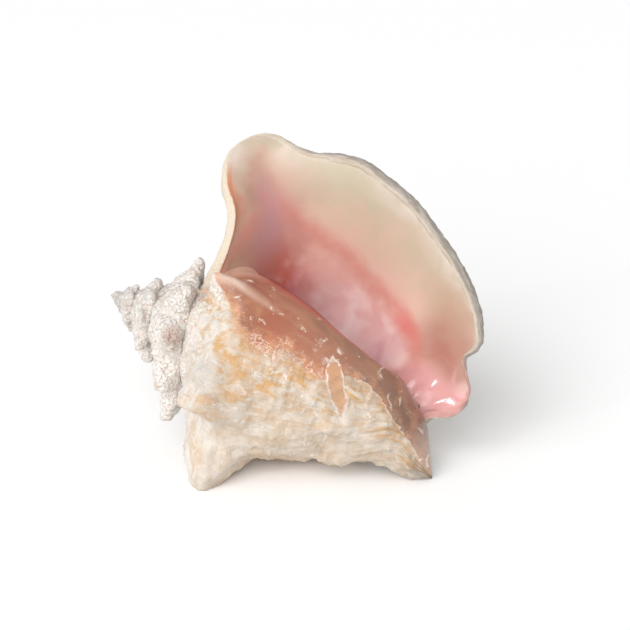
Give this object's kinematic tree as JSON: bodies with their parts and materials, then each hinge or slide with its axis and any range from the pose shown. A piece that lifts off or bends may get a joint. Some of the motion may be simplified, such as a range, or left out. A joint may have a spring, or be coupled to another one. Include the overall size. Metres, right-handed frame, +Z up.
{
  "type": "conch shell",
  "caption": "Large spiral sea shell with a short spined spire, a heavy knobbed body and a wide flared lip, lying with its aperture facing up and forward.",
  "frame": {"origin": "centre of the bounding box, at the level of the surface that the shell rests on", "axes": "+X from the spire towards the canal, +Y to the back of the shell as it lies, +Z up"},
  "size_m": [0.2198, 0.1344, 0.1807],
  "materials": {
    "shell": "chalky, pitted cream outside; smooth glazed pink and orange-brown inside the aperture"
  },
  "bodies": {
    "root": {"shell": "shell"}
  },
  "joints": []
}
